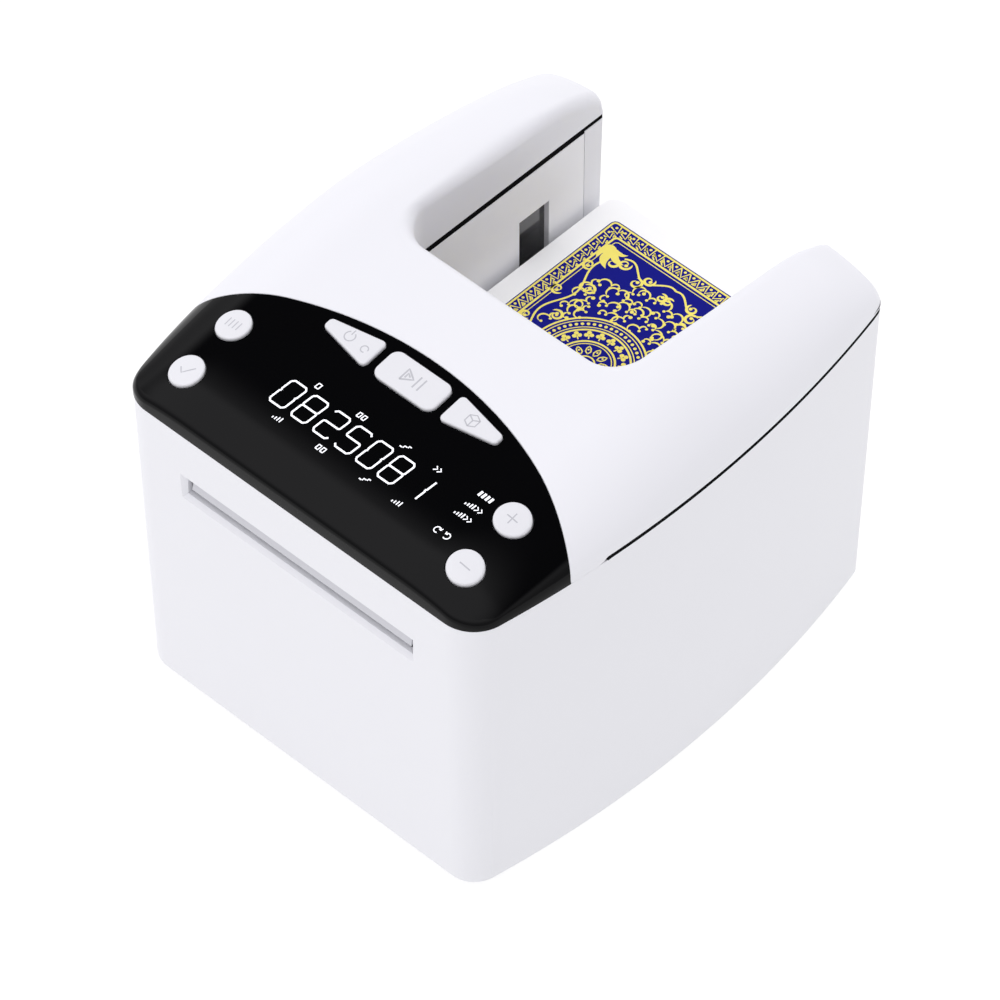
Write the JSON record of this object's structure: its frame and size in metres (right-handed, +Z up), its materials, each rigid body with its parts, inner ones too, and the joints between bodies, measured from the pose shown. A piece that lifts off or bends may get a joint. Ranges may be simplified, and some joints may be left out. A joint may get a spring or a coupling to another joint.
{
  "type": "automatic card shuffler",
  "caption": "Automatic card shuffler and dealer: white casing on a hidden turntable, black control panel with keys, open card bay with deck, front card slot.",
  "frame": {"origin": "on the table, on the turntable's axis, at the middle of the foot ring and its centre pad", "axes": "+Z up; the card slot and the control panel face -Y, the open end of the card bay faces +Y, +X is the machine's left-to-right width"},
  "size_m": [0.121, 0.138, 0.1085],
  "materials": {
    "casing": "satin white moulded ABS",
    "liner": "light grey moulded ABS",
    "panel": "glossy black",
    "key": "off-white",
    "spacer": "matt black",
    "smoked": "smoked window",
    "frame": "black glass-filled nylon",
    "gear": "natural acetal",
    "steel": "bright steel",
    "bush": "sintered bronze",
    "rubber": "soft black rubber",
    "foam": "foam pad",
    "board": "green solder mask",
    "chip": "moulded black packages",
    "battery": "shrink sleeve",
    "motor": "zinc-plated can",
    "card_edge": "stacked card edges",
    "card_back": "printed card back",
    "spring": "spring steel"
  },
  "bodies": {
    "base": {"turntable_disc": "frame", "foot_ring": "rubber", "glide_ring": "gear", "ring_gear": "gear", "spindle_washer": "steel", "spindle_screw": "steel"},
    "housing": {"battery_pack": "battery", "bay_liner": "liner", "bay_window": "smoked", "board_parts": "chip", "board_standoffs": "steel", "bottom_cover": "casing", "bottom_screws": "steel", "card_sensor": "chip", "charge_board": "board", "charge_port": "steel", "control_panel": "panel", "deck_sensor": "chip", "display_module": "chip", "eject_motor": "motor", "feed_motor": "motor", "idler_pin": "steel", "key_switches": "chip", "keypad_board": "board", "lift_springs": "spring", "lower_chute": "frame", "lower_shell": "casing", "main_board": "board", "mechanism_frame": "frame", "roller_bushes": "bush", "seam_spacer": "spacer", "spindle_bush": "bush", "top_cover": "casing", "turn_motor": "motor", "upper_chute": "frame"},
    "feed_roller": {"feed_shaft": "steel", "feed_hubs": "gear", "feed_tyres": "rubber", "feed_gear": "gear"},
    "feed_idler": {"feed_idler": "gear"},
    "feed_pinion": {"feed_pinion": "gear"},
    "eject_roller": {"eject_shaft": "steel", "eject_tyres": "rubber", "eject_gear": "gear"},
    "eject_pinion": {"eject_pinion": "gear"},
    "pressure_roller": {"pressure_shaft": "steel", "pressure_tyres": "rubber"},
    "turn_pinion": {"turn_pinion": "gear"},
    "lift_plate": {"lift_plate": "liner", "lift_pad": "foam"},
    "card_deck": {"card_deck": "card_edge", "top_card": "card_back"},
    "key_dice": {"key_dice": "key"},
    "key_minus": {"key_minus": "key"},
    "key_mode": {"key_mode": "key"},
    "key_ok": {"key_ok": "key"},
    "key_play": {"key_play": "key"},
    "key_plus": {"key_plus": "key"},
    "key_power": {"key_power": "key"}
  },
  "joints": [
    {"name": "housing_turn", "type": "hinge", "parent": "base", "child": "housing", "pos_m": [0, 0, 0], "axis": [0, 0, 1], "continuous": true},
    {"name": "turn_pinion_spin", "type": "hinge", "parent": "housing", "child": "turn_pinion", "pos_m": [0.01805, -0.03126, 0.012], "axis": [0, 0, 1], "continuous": true},
    {"name": "feed_roller_spin", "type": "hinge", "parent": "housing", "child": "feed_roller", "pos_m": [0, -0.0085, 0.074], "axis": [1, 0, 0], "continuous": true},
    {"name": "feed_idler_spin", "type": "hinge", "parent": "housing", "child": "feed_idler", "pos_m": [0.042, -0.02328, 0.05922], "axis": [1, 0, 0], "continuous": true},
    {"name": "feed_pinion_spin", "type": "hinge", "parent": "housing", "child": "feed_pinion", "pos_m": [0.042, -0.03311, 0.0475], "axis": [1, 0, 0], "continuous": true},
    {"name": "eject_roller_spin", "type": "hinge", "parent": "housing", "child": "eject_roller", "pos_m": [0, -0.05, 0.06602], "axis": [1, 0, 0], "continuous": true},
    {"name": "eject_pinion_spin", "type": "hinge", "parent": "housing", "child": "eject_pinion", "pos_m": [-0.042, -0.05, 0.04912], "axis": [1, 0, 0], "continuous": true},
    {"name": "pressure_roller_spin", "type": "hinge", "parent": "housing", "child": "pressure_roller", "pos_m": [0, -0.05, 0.07662], "axis": [1, 0, 0], "continuous": true},
    {"name": "lift_plate_slide", "type": "slide", "parent": "housing", "child": "lift_plate", "axis": [0, 0, 1], "range_m": [-0.016, 0], "stiffness_N_per_m": 60, "springref_m": 0.012, "deforming": ["lift_springs"]},
    {"name": "deck_lift_out", "type": "slide", "parent": "housing", "child": "card_deck", "axis": [0, 1, 0], "range_m": [0, 0.1]},
    {"name": "key_dice_press", "type": "slide", "parent": "housing", "child": "key_dice", "axis": [0, 0.1908, -0.9816], "range_m": [0, 0.0008], "stiffness_N_per_m": 400, "springref_m": -0.0005},
    {"name": "key_minus_press", "type": "slide", "parent": "housing", "child": "key_minus", "axis": [0, 0.1908, -0.9816], "range_m": [0, 0.0008], "stiffness_N_per_m": 400, "springref_m": -0.0005},
    {"name": "key_mode_press", "type": "slide", "parent": "housing", "child": "key_mode", "axis": [0, 0.1908, -0.9816], "range_m": [0, 0.0008], "stiffness_N_per_m": 400, "springref_m": -0.0005},
    {"name": "key_ok_press", "type": "slide", "parent": "housing", "child": "key_ok", "axis": [0, 0.1908, -0.9816], "range_m": [0, 0.0008], "stiffness_N_per_m": 400, "springref_m": -0.0005},
    {"name": "key_play_press", "type": "slide", "parent": "housing", "child": "key_play", "axis": [0, 0.1908, -0.9816], "range_m": [0, 0.0008], "stiffness_N_per_m": 400, "springref_m": -0.0005},
    {"name": "key_plus_press", "type": "slide", "parent": "housing", "child": "key_plus", "axis": [0, 0.1908, -0.9816], "range_m": [0, 0.0008], "stiffness_N_per_m": 400, "springref_m": -0.0005},
    {"name": "key_power_press", "type": "slide", "parent": "housing", "child": "key_power", "axis": [0, 0.1908, -0.9816], "range_m": [0, 0.0008], "stiffness_N_per_m": 400, "springref_m": -0.0005}
  ],
  "couplings": [
    {"joint": "turn_pinion_spin", "follows": "housing_turn", "ratio": 4},
    {"joint": "feed_idler_spin", "follows": "feed_roller_spin", "ratio": -1.1667},
    {"joint": "feed_pinion_spin", "follows": "feed_roller_spin", "ratio": 2},
    {"joint": "eject_pinion_spin", "follows": "eject_roller_spin", "ratio": -2},
    {"joint": "pressure_roller_spin", "follows": "eject_roller_spin", "ratio": -1}
  ]
}
